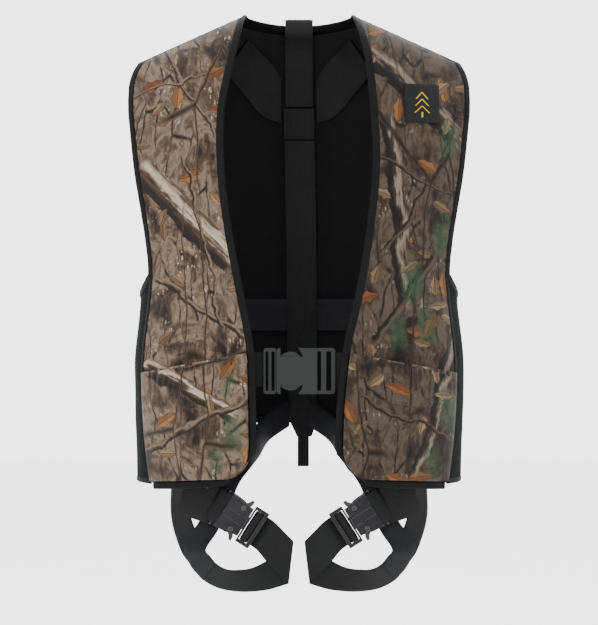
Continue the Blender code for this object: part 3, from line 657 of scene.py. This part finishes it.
def badge_material(name):
    """Black woven label with a plain stepped tree mark and no words."""
    s = Shader(name)
    x, y, _ = s.split(s.place("UV"))
    tier = s.math("FRACT", s.math("DIVIDE", s.add(y, 0.013), 0.0093))
    half = s.mul(s.math("SUBTRACT", 1.0, tier), s.math("MULTIPLY_ADD", y, -0.10, 0.0085))
    outline = s.between(s.abs(s.math("SUBTRACT", s.abs(x), half)), 0.0011, 0.0007)
    band = s.mul(s.math("GREATER_THAN", y, -0.013), s.math("LESS_THAN", y, 0.0149))
    stem = s.mul(s.math("LESS_THAN", s.abs(x), 0.0011),
                 s.mul(s.math("GREATER_THAN", y, -0.019), s.math("LESS_THAN", y, -0.012)))
    mark = s.math("MAXIMUM", s.mul(outline, band), stem)
    threads = s.sine(s.mul(y, 2 * math.pi / 0.0009))
    tint = s.mix(mark, (0.0016, 0.0020, 0.0018), (0.22, 0.145, 0.004))
    return s.finish(tint, 0.7, threads, 0.00012, 0.8, Specular_IOR_Level=0.12)


def stage_material(name):
    s = Shader(name)
    soft = s.noise(s.place(), 3.0, 2.0)
    return s.finish(s.mix(soft, (0.90, 0.90, 0.90), (0.93, 0.93, 0.93)), 0.9, Specular_IOR_Level=0.1)


# Each print's branches are (start, end, width) and its needle sprays (centre, radius), in metres on the
# cloth: x from the middle of the vest, y up from the neck points.
ORANGE = ((0.060, 0.019, 0.005), (0.125, 0.052, 0.015))
TAN = ((0.050, 0.028, 0.013), (0.125, 0.078, 0.040))
PALE_LIMBS = (((-0.215, -0.215), (-0.085, -0.345), 0.040), ((-0.200, -0.030), (-0.110, -0.175), 0.006),
              ((-0.225, -0.120), (-0.120, -0.090), 0.004), ((-0.190, -0.360), (-0.070, -0.440), 0.010),
              ((-0.150, -0.200), (-0.100, -0.430), 0.005), ((-0.220, -0.470), (-0.080, -0.540), 0.022),
              ((-0.210, -0.600), (-0.070, -0.520), 0.008))
DARK_LIMBS = (((0.095, -0.060), (0.210, -0.170), 0.030), ((0.120, -0.150), (0.140, -0.400), 0.022),
              ((0.200, -0.200), (0.110, -0.330), 0.007), ((0.100, -0.200), (0.220, -0.260), 0.005),
              ((0.180, -0.330), (0.100, -0.450), 0.012), ((0.210, -0.420), (0.150, -0.620), 0.018),
              ((0.080, -0.520), (0.200, -0.580), 0.006))
PALE_SPRAYS = (((-0.085, -0.560), 0.030), ((-0.105, -0.600), 0.024), ((-0.090, -0.500), 0.022))
DARK_SPRAYS = (((0.200, -0.170), 0.030), ((0.195, -0.300), 0.034), ((0.150, -0.360), 0.034),
               ((0.170, -0.420), 0.030), ((0.130, -0.430), 0.028), ((0.190, -0.530), 0.030),
               ((0.170, -0.600), 0.026))
bark = {"r": bark_print("pale bark print", 0.31, PALE_LIMBS, PALE_SPRAYS, (ORANGE, TAN), 0.66),
        "l": bark_print("dark bark print", 0.125, DARK_LIMBS, DARK_SPRAYS, (ORANGE, TAN), 0.52)}
back_cloth = plain_cloth("black mesh cloth", (0.0013, 0.0013, 0.0015))
lining_cloth = plain_cloth("black lining", (0.0024, 0.0024, 0.0026), 1300.0, 0.02)
green_cloth = plain_cloth("dark green cloth", (0.0006, 0.0016, 0.0011))
tape = tape_material("binding tape", (0.0012, 0.0012, 0.0013))
black_web = web_material("black webbing", (0.0013, 0.0014, 0.0015))
navy_web = web_material("navy webbing", (0.0015, 0.0016, 0.0025))
sewn_web = web_material("sewn webbing", (0.0020, 0.0020, 0.0022), sewn=True)
label = badge_material("badge")
buckle_plastic = plastic_material("buckle plastic", (0.0016, 0.0021, 0.0020))
gunmetal = metal_material("gunmetal", (0.0150, 0.0150, 0.0160), 0.40, (0.085, 0.085, 0.085))
steel = metal_material("steel", (0.026, 0.026, 0.027), 0.32, (0.16, 0.16, 0.16))


# ---------------------------------------------------------------- cloth

def put(piece, body, slot_name, *nodes):
    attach(piece, body)
    if nodes:
        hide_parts(*nodes)


def front_grid(side, columns, rows, top=None, inset=0.0):
    """(x, drop, u, v) over a front panel, or over its pocket if the two ends of a top line are given."""
    low = HEM_FRONT - inset
    shares = np.linspace(0, 1, rows + 1)
    if top is None:
        shares = crowded_shares(0.115, 30, rows)
    v, u = np.meshgrid(shares, np.linspace(0, 1, columns + 1), indexing="ij")
    foot = low + (HEM_SIDE - HEM_FRONT) * u
    if top is None:
        head = ridge_drop(NECK_EDGE + (SHOULDER_END - NECK_EDGE) * u)
    else:
        head = top[0] + (top[1] - top[0]) * u
    for _ in range(10):
        drop = head + (foot - head) * v
        inner = open_edge(side, np.minimum(drop, HEM_FRONT)) + inset
        x = inner + (side_edge(drop) - inset - inner) * u
        if top is None:
            head = ridge_drop(x)
    return x, drop, u, v


def cloth_uv(x, drop, side):
    return np.stack([side * x, -drop], -1)


def make_front(tag, side):
    """One front: its cloth, its pocket and the band round the pocket's mouth."""
    x, drop, u, v = front_grid(side, 90, 300)
    folds = 0.0026 * ripple(x, 0.45 * drop, 5 + side, 0.11) + 0.0008 * ripple(x, drop, 8 + side, 0.045)
    near_edge = np.minimum(u, 1 - u)
    relief = folds * ease(0.03, 0.2, drop) * ease(0, 0.14, near_edge)
    pocket_line = POCKET_TOP[0] + (POCKET_TOP[1] - POCKET_TOP[0]) * u
    relief = relief * (1 - ease(-0.03, 0.0, drop - pocket_line))
    relief = relief + 0.0005 * (1 - ease(0.0, 0.02, near_edge)) * np.sin(drop * 2 * math.pi / 0.019)
    points, normals = on_shell(side * x, drop, relief)
    piece = grid_object(f"front_cloth_{tag}", points, normals, CLOTH, cloth_uv(x, drop, side), bark[tag])
    put(piece, "vest", "camouflage", f"front_panel_{tag}")

    x, drop, u, v = front_grid(side, 84, 90, top=POCKET_TOP, inset=0.002)
    sag = np.sin(math.pi * u) ** 0.6 * (np.sin(math.pi * np.clip(v, 0, 1)) ** 0.55)
    mouth = np.sin(math.pi * u) ** 0.8 * (1 - v) ** 2
    bulge = 0.0110 * sag + 0.0055 * mouth
    crease = (0.0018 * ripple(x, drop, 21 + side, 0.085) + 0.0006 * ripple(x, drop, 25 + side, 0.03)) * sag
    fade = (1 - ease(0.0, 0.30, v)) * ease(0, 0.08, u) * ease(0, 0.08, 1 - u)
    gather = 0.0013 * np.sin(u * 2 * math.pi * 19 + 2.1 * np.sin(u * 11)) * fade
    points, normals = on_shell(side * x, drop, LAYER + bulge + crease + gather)
    piece = grid_object(f"pocket_cloth_{tag}", points, normals, CLOTH, cloth_uv(x, drop, side), bark[tag])
    put(piece, "vest", "camouflage", f"pocket_{tag}")
    mouth_edge = points[0] + normals[0] * 0.0004
    piece = binding(f"pocket_hem_{tag}", mouth_edge, normals[0], -side, bark[tag], -0.0012, 0.0125, 0.0026)
    put(piece, "vest", "camouflage")


def make_seams(tag, side):
    """Tapes on the seams between the front, the back and the cloth under the arm, and on the shoulder."""
    drop = np.linspace(ARMHOLE_DROP - 0.003, HEM_SIDE - 0.001, 110)
    for word, back in (("front", False), ("back", True)):
        path = on_shell(side * (side_edge(drop) + 0.0002), drop, 0.0002, back=back)
        piece = binding(f"{word}_side_seam_{tag}", *path, 1, tape, near=-0.0034, far=0.0034, thickness=0.0026)
        put(piece, "vest", "binding")
    corner = float(angle_at(side_edge(HEM_SIDE), HEM_SIDE))
    turn = side * np.linspace(corner, math.pi - corner, 50)
    piece = binding(f"side_hem_{tag}", *shell(turn, HEM_SIDE), side, tape, near=-0.0022, far=0.0050)
    put(piece, "vest", "binding")
    x = np.linspace(0.0715, 0.2145, 60)
    points, _ = shell(angle_at(side * x, ridge_drop(x)), ridge_drop(x) + 0.0002)
    normals = unit(np.stack([0 * x + 0.35 * side, 0 * x, 0 * x + 1], -1))
    piece = binding(f"shoulder_seam_{tag}", points, normals, 1, tape, near=-0.0045, far=0.0045,
                    thickness=0.0030)
    put(piece, "vest", "binding")


def make_side(tag, side):
    """The dark cloth under one arm, with a small ledge under the armhole, and its two bindings."""
    corner = float(angle_at(side_edge(ARMHOLE_DROP), ARMHOLE_DROP))
    u = np.linspace(-1, 1, 61)[None, :]
    v = np.linspace(0, 1, 91)[:, None]
    top = ARMHOLE_DROP + ARMHOLE_SAG * (1 - u**2) + 0.0036
    drop = top + (HEM_SIDE - top) * v
    seam = math.pi / 2 - angle_at(side_edge(drop) + 0.001, drop)
    angle = side * (math.pi / 2 + u * seam)
    relief = 0.0010 * ripple(u * 0.1, drop, 31 + side, 0.12) * (1 - u**4) * ease(0, 0.1, v)
    points, normals = shell(angle, drop, relief)
    uv = np.stack([u * 0.07 + 0 * v, -drop], -1)
    piece = grid_object(f"side_cloth_{tag}", points, normals, CLOTH, uv, green_cloth)
    put(piece, "vest", "green_cloth", f"side_panel_{tag}")

    fall = shares_down(HEM_FRONT, 16, 150, True) * HEM_FRONT
    x = open_edge(side, fall)
    for _ in range(8):
        drop = ridge_drop(x) + (HEM_FRONT - ridge_drop(x)) * fall / HEM_FRONT
        x = open_edge(side, drop)
    start = x[-1]
    u = np.linspace(0, 1, 40)[1:]
    hem_x = start + (side_edge(HEM_SIDE) - 0.004 - start) * u
    hem_drop = HEM_FRONT + (HEM_SIDE - HEM_FRONT) * u
    points, normals = on_shell(side * np.concatenate([x, hem_x]), np.concatenate([drop, hem_drop]))
    piece = binding(f"front_tape_{tag}", points, normals, -side, tape)
    put(piece, "vest", "binding", f"front_binding_{tag}")

    falls = SHOULDER_ARCH * (1 - np.cos(np.radians(np.linspace(2, 90, 20))))
    drops = ridge_drop(SHOULDER_END) + falls
    drops = np.concatenate([drops, np.linspace(drops[-1], ARMHOLE_DROP, 60)[1:]])
    front = on_shell(side * side_edge(drops), drops)
    back = on_shell(side * side_edge(drops), drops, back=True)
    turn = np.linspace(corner, math.pi - corner, 32)[1:-1]
    off = (turn - math.pi / 2) / (math.pi / 2 - corner)
    low = shell(side * turn, ARMHOLE_DROP + ARMHOLE_SAG * (1 - off**2))
    points, normals = (np.concatenate([front[k], low[k], back[k][::-1]]) for k in (0, 1))
    piece = binding(f"armhole_tape_{tag}", points, normals, side, tape, closed=True)
    put(piece, "vest", "binding", f"armhole_binding_{tag}")


def make_back():
    """The back's outer cloth and its lining, and the tapes on the neckline and the hem."""
    u = np.linspace(-1, 1, 181)[None, :]
    v = crowded_shares(0.116, 25, 150)[:, None]
    layers = (("back_cloth", "back_panel", 0.0, 0.0, back_cloth, 0.0011),
              ("lining_cloth", "back_lining", -LAYER, 0.004, lining_cloth, 0.0007))
    for name, node, out, inset, material, size in layers:
        head = ridge_drop(SHOULDER_END)
        outer = side_edge(head + (HEM_SIDE - head) * v) - inset - 0.0012
        x = outer * u
        top = np.where(np.abs(x) > NECK_EDGE, ridge_drop(x), neckline(x)) + inset
        foot = back_hem(x) - inset
        drop = top + (foot - top) * v
        fade = ease(0.04, 0.16, drop) * (1 - ease(0.85, 1.0, np.abs(u)))
        points, normals = on_shell(x, drop, out + size * ripple(x, drop, 51, 0.15) * fade, back=True)
        piece = grid_object(name, points, normals, CLOTH, np.stack([x, -drop], -1), material)
        put(piece, "vest", "black_cloth", node)

    x = np.linspace(-0.0786, 0.0786, 60)
    piece = binding("neck_tape", *on_shell(x, neckline(x) + 0.0002, back=True), -1, tape, near=0.0)
    put(piece, "vest", "binding", "neck_binding")
    x = np.linspace(-0.185, 0.185, 120)
    piece = binding("back_hem_tape", *on_shell(x, back_hem(x), back=True), 1, tape, near=0.0)
    put(piece, "vest", "binding", "back_hem_binding")


def make_badge():
    """The woven label on the left breast."""
    (near, far), (high, low) = BADGE_ACROSS, BADGE_DOWN
    x = np.linspace(near, far, 48)[None, :] + np.zeros((40, 1))
    drop = np.linspace(high, low, 40)[:, None] + 0 * x
    edge = np.minimum(np.minimum(x - near, far - x), np.minimum(drop - high, low - drop))
    points, normals = on_shell(x, drop, 0.0026 + 0.0007 * ease(0, 0.003, edge))
    uv = np.stack([x - (near + far) / 2, (high + low) / 2 - drop], -1)
    piece = grid_object("badge_label", points, normals, 0.0012, uv, label)
    put(piece, "vest", "badge", "badge")


# ---------------------------------------------------------------- webbing

def inside_back(pairs, out):
    """Stations inside the back from (x, drop) on the webbing's two edges."""
    return [tuple(tuple(on_shell(x, d, out, back=True)[0]) for x, d in pair) for pair in pairs]


def millimetres(pairs, side):
    """Stations given as (distance from the middle, y, z) in millimetres."""
    return [tuple((side * x / 1000, y / 1000, z / 1000) for x, y, z in pair) for pair in pairs]


def belt_stations(*places):
    """Stations of the waist belt at places given as (x, y)."""
    return [tuple((x, y, z) for z in BELT_EDGES) for x, y in places]


def make_harness():
    """The webbing sewn inside the vest: shoulder straps, spine strap, drop loop and waist belt."""
    for tag, side in SIDES.items():
        pairs = (((0.026, 0.0745), (0.026, 0.1350)), ((0.038, 0.056), (0.050, 0.127)),
                 ((0.055, 0.038), (0.078, 0.097)), ((0.074, 0.020), (0.106, 0.064)))
        pairs = [((side * a, b), (side * c, d)) for (a, b), (c, d) in pairs]
        piece = webbing(f"shoulder_web_{tag}", inside_back(pairs, -2 * LAYER), black_web)
        put(piece, "vest", "webbing", f"shoulder_strap_{tag}")
    pairs = [((-0.022, d), (0.022, d)) for d in (0.114, 0.135, 0.158)]
    piece = webbing("spine_patch_web", inside_back(pairs, -3.2 * LAYER), sewn_web, thickness=0.0030)
    put(piece, "vest", "webbing", "spine_patch")
    pairs = (((-0.0215, 0.160), (0.0225, 0.160)), ((-0.019, 0.30), (0.0255, 0.30)),
             ((-0.018, 0.45), (0.0265, 0.45)), ((-0.0155, 0.527), (0.0265, 0.527)),
             ((-0.0155, 0.558), (0.0280, 0.558)), ((-0.003, 0.586), (0.019, 0.586)))
    piece = webbing("spine_web", inside_back(pairs, -3.4 * LAYER), black_web, wave=0.0011, seed=4,
                    width_columns=20)
    put(piece, "vest", "webbing", "spine_strap")
    pairs = (((-0.002, 0.566), (0.015, 0.566)), ((-0.002, 0.590), (0.015, 0.590)),
             ((-0.002, 0.608), (0.015, 0.608)), ((-0.002, 0.629), (0.015, 0.629)))
    piece = webbing("drop_web", inside_back(pairs, -3.4 * LAYER - 0.0015), black_web, thickness=0.0028)
    put(piece, "vest", "webbing", "drop_loop")

    right = belt_stations((-0.128, WAIST_PLANE), (-0.165, -0.076), (-0.197, -0.048))
    belt = list(right)
    for turn in np.radians(np.arange(-105, -290, -15)):
        off = math.pi - abs(turn + math.pi)
        height = 0.411 + 0.072 * (1 - float(ease(math.radians(55), math.radians(110), off)))
        belt.append(tuple(tuple(shell(turn, height + half, -2.4 * LAYER)[0]) for half in (-0.0225, 0.0225)))
    piece = webbing("waist_web_back", belt, navy_web, step=0.004)
    put(piece, "vest", "webbing", "waist_belt_back")
    left = belt_stations((0.196, -0.0495), (0.165, -0.076), (0.128, WAIST_PLANE))
    left += belt_stations((0.09, WAIST_PLANE), (0.0487, WAIST_PLANE))
    put(webbing("waist_web_l", left, black_web), "vest", "webbing", "waist_belt_l")
    ends = belt_stations(*((x, WAIST_PLANE) for x in (-0.0475, -0.06, -0.0775)))
    put(webbing("waist_web_r", ends, black_web), "waist_plug", "webbing", "waist_belt_r")


def make_tether():
    """The tether comes over the collar from inside the back and ends in an eye outside it."""
    inside = [(0.112, -0.012), (0.07, -0.012), (0.03, -0.012), (0.006, -0.012)]
    path = [tuple(shell(math.pi, drop, out)[0][1:]) for drop, out in inside]
    path += [(0.0605, 0.0045), (0.0700, 0.0030)]
    outside = ((0.0065, 0.03), (0.006, 0.08), (0.006, 0.14), (0.006, 0.20), (0.0065, 0.232),
               (0.011, 0.255), (0.021, 0.263), (0.029, 0.250), (0.0245, 0.232), (0.0135, 0.212),
               (0.0102, 0.195), (0.0102, 0.150))
    path += [tuple(shell(math.pi, drop, out)[0][1:]) for out, drop in outside]
    piece = webbing("tether_web", [((-0.0195, y, z), (0.0195, y, z)) for y, z in path], black_web, step=0.002)
    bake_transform(piece)
    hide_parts("tether_root", "tether_strap")


def leg_frame(side):
    """The leg buckle's frame, in millimetres: X along its axis to the fold of the strap, Z to the front."""
    x = Vector((-side * math.cos(BUCKLE_AXIS), 0, -math.sin(BUCKLE_AXIS)))
    z = Vector((0, -1, 0))
    start = Vector((side * BUCKLE_START[0], BUCKLE_START[1], -BUCKLE_START[2]))
    axes = Matrix((x, z.cross(x), z)).transposed().to_4x4()
    return Matrix.Translation(start) @ axes @ Matrix.Scale(0.001, 4)


def across_buckle(side, path, half=22.2):
    """Stations of webbing that crosses the leg buckle, from (x, z) in the buckle's frame."""
    place = leg_frame(side)
    return [tuple(tuple(place @ Vector((x, side * y, z))) for y in (-half, half)) for x, z in path]


def make_roll(tag, side):
    """The webbing's end rolled round the buckle's pin, and the pin's two ends."""
    place = leg_frame(side)
    path = []
    for turn in np.linspace(0, 2 * math.pi, 40):
        x = -0.6 + 10.4 * math.copysign(abs(math.cos(turn)) ** 0.8, math.cos(turn))
        z = 0.6 + 5.6 * math.copysign(abs(math.sin(turn)) ** 0.8, math.sin(turn))
        path.append((x, z))
    piece = webbing(f"leg_web_roll_{tag}", across_buckle(side, path, 22.6), black_web, step=0.0012)
    put(piece, f"leg_loop_{tag}", "webbing")
    for word, end in (("upper", 1), ("lower", -1)):
        bpy.ops.mesh.primitive_cylinder_add(vertices=28, radius=0.0021, depth=0.0056)
        pin = bpy.context.object
        pin.name = f"leg_pin_{word}_{tag}"
        pin.matrix_world = (Matrix.Translation(place @ Vector((2.2, end * 24.6, 0.6)))
                            @ place.to_3x3().normalized().to_4x4() @ Matrix.Rotation(math.pi / 2, 4, "X"))
        rounding = pin.modifiers.new("rounding", "BEVEL")
        rounding.width = 0.0007
        rounding.segments = 3
        pin.data.materials.append(steel)
        pin.data.shade_smooth()
        put(pin, f"leg_loop_{tag}", "steel")


def make_leg_webbing(tag, side):
    """Straps that run from inside the vest to the leg loop, and the loop's own pieces."""
    hip = (((196, 4, -512), (190, -38, -514)), ((187, -6, -570), (172, -46, -571)),
           ((174, -22, -625), (147, -54, -626)), ((174, -24, -641), (146, -54, -642)),
           ((174, -26, -686), (146, -44, -682)), ((167.5, -24, -714), (138, -41, -707)),
           ((158, -22, -738), (132, -43, -721)), ((146, -22, -753), (124, -47, -733)),
           ((132, -24, -771), (111, -50, -746)), ((109.6, -25, -783), (98.5, -49, -753)),
           ((81.4, -29, -787), (83, -47, -754.5)), ((46.4, -36, -784), (58, -44, -750)),
           ((28, -40, -779), (28, -43, -733)), ((14, -43, -774), (7.4, -43, -718)))
    piece = webbing(f"leg_web_outer_{tag}", millimetres(hip, side), black_web, wave=0.0004, seed=9,
                    width_columns=14)
    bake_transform(piece)
    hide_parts(f"hip_strap_{tag}", f"leg_strap_outer_{tag}")

    seat = (((14, 97, -571), (14, 97, -534)), ((39, 78, -587), (37, 82, -546)),
            ((56, 34, -610), (66, 40, -571)), ((66, -2, -621), (88, 2, -592)),
            ((84, -38, -645.5), (120, -38, -636)), ((95, -38, -675), (128.4, -40, -667)),
            ((111, -41.5, -705), (135, -46, -690)), ((125, -56, -727), (156, -45, -722)),
            ((119, -57, -735), (146, -33, -753)), ((112, -57, -744), (131, -31, -770)))
    piece = webbing(f"leg_web_tail_{tag}", millimetres(seat, side), navy_web, width_columns=14)
    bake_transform(piece)
    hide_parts(f"seat_strap_{tag}", f"leg_strap_tail_{tag}")

    loop = (((96.6, -50, -645.0), (122, -50, -691.5)), ((123.5, -57, -643), (131.5, -58, -688)),
            ((155, -58, -643), (163, -51, -678)))
    piece = webbing(f"leg_web_loop_{tag}", millimetres(loop, side), sewn_web, step=0.002)
    put(piece, f"leg_loop_{tag}", "webbing", f"leg_strap_loop_{tag}")
    make_roll(tag, side)

    plane = BUCKLE_START[1] * 1000
    front = (((7.2, plane + 1, -716), (14, plane + 1, -772.5)),
             ((19.4, plane - 0.5, -703.4), (44.6, plane - 0.5, -742)))
    stations = millimetres(front, side)
    stations += across_buckle(side, [(74, -0.8), (68, -4.0), (62.4, -5.7)])
    piece = webbing(f"leg_web_front_{tag}", stations, black_web, step=0.0012)
    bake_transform(piece)
    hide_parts(f"leg_strap_front_{tag}")
    turns = np.radians(np.arange(250, 20, -32))
    wrap = [(60.0, -4.0), (57, -4.5)]
    wrap += [(51.9 + 4.3 * math.cos(turn), 4.3 * math.sin(turn)) for turn in turns] + [(57.0, 1.4)]
    piece = webbing(f"leg_web_wrap_{tag}", across_buckle(side, wrap), black_web, step=0.0012)
    put(piece, f"leg_friction_bar_{tag}", "webbing")


# ---------------------------------------------------------------- hardware and the stage

def finish_hardware():
    """CAD nodes that show as they are: each takes the material of its finish."""
    for name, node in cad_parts.items():
        metal = name.startswith("leg_")
        if not (metal or name.startswith("waist_")) or node.hide_render:
            continue
        if not metal:
            made = buckle_plastic
        elif "rivet" in name or "lever" in name or "spring" in name:
            made = steel
        else:
            made = gunmetal
        node.data.materials.clear()
        node.data.materials.append(made)


def area_light(name, size, at, towards, power):
    lamp = bpy.data.objects.new(name, bpy.data.lights.new(name, "AREA"))
    bpy.context.scene.collection.objects.link(lamp)
    lamp.data.shape = "RECTANGLE"
    lamp.data.size, lamp.data.size_y = size
    lamp.data.energy = power
    lamp.location = at
    lamp.rotation_euler = (Vector(towards) - Vector(at)).to_track_quat("-Z", "Y").to_euler()


def make_stage():
    """Camera, lights, white surroundings and the floor."""
    scene = bpy.context.scene
    width = FRAME_HEIGHT * FRAME_SHAPE
    camera = bpy.data.objects.new("camera", bpy.data.cameras.new("camera"))
    scene.collection.objects.link(camera)
    camera.location = (0, -CAMERA_BACK, -CAMERA_DROP)
    camera.rotation_euler = (math.pi / 2, 0, 0)
    camera.data.sensor_fit = "HORIZONTAL"
    camera.data.sensor_width = SENSOR
    camera.data.lens = SENSOR * CAMERA_BACK / width
    scene.camera = camera

    world = bpy.data.worlds.new("studio")
    world.use_nodes = True
    world.node_tree.nodes["Background"].inputs["Color"].default_value = (1, 1, 1, 1)
    world.node_tree.nodes["Background"].inputs["Strength"].default_value = WORLD_STRENGTH
    scene.world = world

    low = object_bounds()[0][2]
    bpy.ops.mesh.primitive_plane_add(size=12, location=(0, 0, low - 0.35))
    floor = bpy.context.object
    floor.name = "floor"
    floor.data.materials.append(stage_material("pale floor"))
    area_light("key", (1.6, 1.2), (-1.3, -2.0, 0.9), (0, 0, -0.4), 48)
    area_light("fill", (1.4, 1.4), (1.8, -1.6, 0.1), (0, 0, -0.4), 14)
    area_light("rim", (1.2, 1.2), (0.3, 1.6, 1.2), (0, 0, -0.3), 16)


for side_name, side_sign in SIDES.items():
    make_seams(side_name, side_sign)
    make_front(side_name, side_sign)
    make_side(side_name, side_sign)
    make_leg_webbing(side_name, side_sign)
make_back()
make_badge()
make_harness()
make_tether()
finish_hardware()
make_stage()
